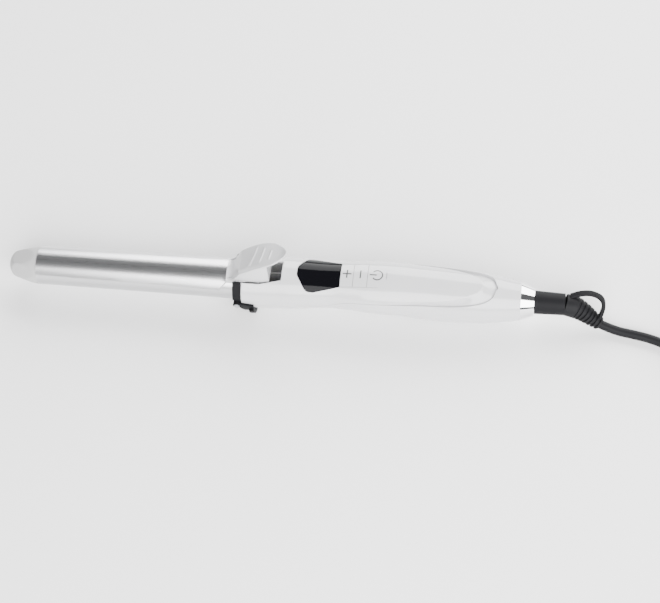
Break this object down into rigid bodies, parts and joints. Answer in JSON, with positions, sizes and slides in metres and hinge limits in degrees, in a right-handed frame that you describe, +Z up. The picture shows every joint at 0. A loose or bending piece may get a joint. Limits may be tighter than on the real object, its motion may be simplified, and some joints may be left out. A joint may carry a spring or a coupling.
{
  "type": "curling iron",
  "caption": "Corded hair curling iron with a metal barrel, spring clamp with thumb lever, folding stand, display, buttons and a swivel cord tied in a hank.",
  "frame": {"origin": "on the surface that the iron lies on, below the barrel's axis, halfway between the nose of the cool tip and the end of the swivel cup", "axes": "+X along the barrel's axis from the nose to the cord, +Z up through the buttons, +Y across"},
  "size_m": [0.699, 0.0556, 0.0571],
  "materials": {
    "white_gloss": "glossy white",
    "tip_plastic": "satin light grey",
    "barrel_metal": "fine satin",
    "steel": "satin",
    "black_plastic": "satin black",
    "heat_plastic": "heat resistant",
    "heater_ceramic": "ceramic",
    "spreader_metal": "extruded",
    "sensor_glass": "glass bead",
    "lens_black": "glossy black",
    "display": "matte",
    "board_green": "solder resist",
    "fuse_glass": "clear",
    "wire_sleeve": "sleeving",
    "chrome_trim": "polished",
    "contact_brass": "polished",
    "relief_rubber": "satin black",
    "pin_metal": "plated"
  },
  "bodies": {
    "iron": {"upper_shell": "white_gloss", "lower_shell": "white_gloss", "cool_tip": "tip_plastic", "barrel_tube": "barrel_metal", "clamp_bracket": "steel", "clamp_pin": "steel", "clamp_spring": "steel", "stand_pins": "steel", "shell_screws": "steel", "board_screws": "steel", "front_collar": "black_plastic", "swivel_socket": "black_plastic", "capacitor": "black_plastic", "triac": "black_plastic", "barrel_socket": "heat_plastic", "tip_insulator": "heat_plastic", "lead_terminals": "heat_plastic", "heater_element": "heater_ceramic", "heat_spreader_upper": "spreader_metal", "heat_spreader_lower": "spreader_metal", "temperature_sensor": "sensor_glass", "display_lens": "lens_black", "display_module": "display", "tact_switches": "display", "main_board": "board_green", "fuse": "fuse_glass", "heater_leads": "wire_sleeve", "mains_leads": "wire_sleeve", "end_ring": "chrome_trim"},
    "clamp": {"clamp_blade": "barrel_metal", "clamp_lever": "white_gloss", "lever_screws": "steel"},
    "stand": {"stand_bail": "black_plastic"},
    "plus_key": {"plus_button": "white_gloss"},
    "minus_key": {"minus_button": "white_gloss"},
    "power_key": {"power_button": "white_gloss"},
    "cord_swivel": {"swivel_cup": "black_plastic", "strain_relief": "relief_rubber", "cord": "relief_rubber", "cord_hank": "relief_rubber", "cord_tie": "black_plastic", "cord_tail": "relief_rubber", "plug_body": "black_plastic", "plug_pins": "pin_metal", "slip_rings": "contact_brass"}
  },
  "joints": [
    {"name": "clamp_hinge", "type": "hinge", "parent": "iron", "child": "clamp", "pos_m": [-0.0195, 0, 0.033], "axis": [0, 1, 0], "range_deg": [0, 28], "stiffness_Nm_per_rad": 0.25, "springref_deg": -20.05},
    {"name": "stand_hinge", "type": "hinge", "parent": "iron", "child": "stand", "pos_m": [-0.0281, 0, 0.0167], "axis": [0, 1, 0], "range_deg": [0, 60]},
    {"name": "plus_press", "type": "slide", "parent": "iron", "child": "plus_key", "axis": [0, 0, -1], "range_m": [0, 0.0005], "stiffness_N_per_m": 900, "springref_m": -0.0004},
    {"name": "minus_press", "type": "slide", "parent": "iron", "child": "minus_key", "axis": [0, 0, -1], "range_m": [0, 0.0005], "stiffness_N_per_m": 900, "springref_m": -0.0004},
    {"name": "power_press", "type": "slide", "parent": "iron", "child": "power_key", "axis": [0, 0, -1], "range_m": [0, 0.0005], "stiffness_N_per_m": 900, "springref_m": -0.0004},
    {"name": "cord_swivel_turn", "type": "hinge", "parent": "iron", "child": "cord_swivel", "pos_m": [0.1652, 0, 0.0172], "axis": [1, 0, 0], "continuous": true}
  ]
}
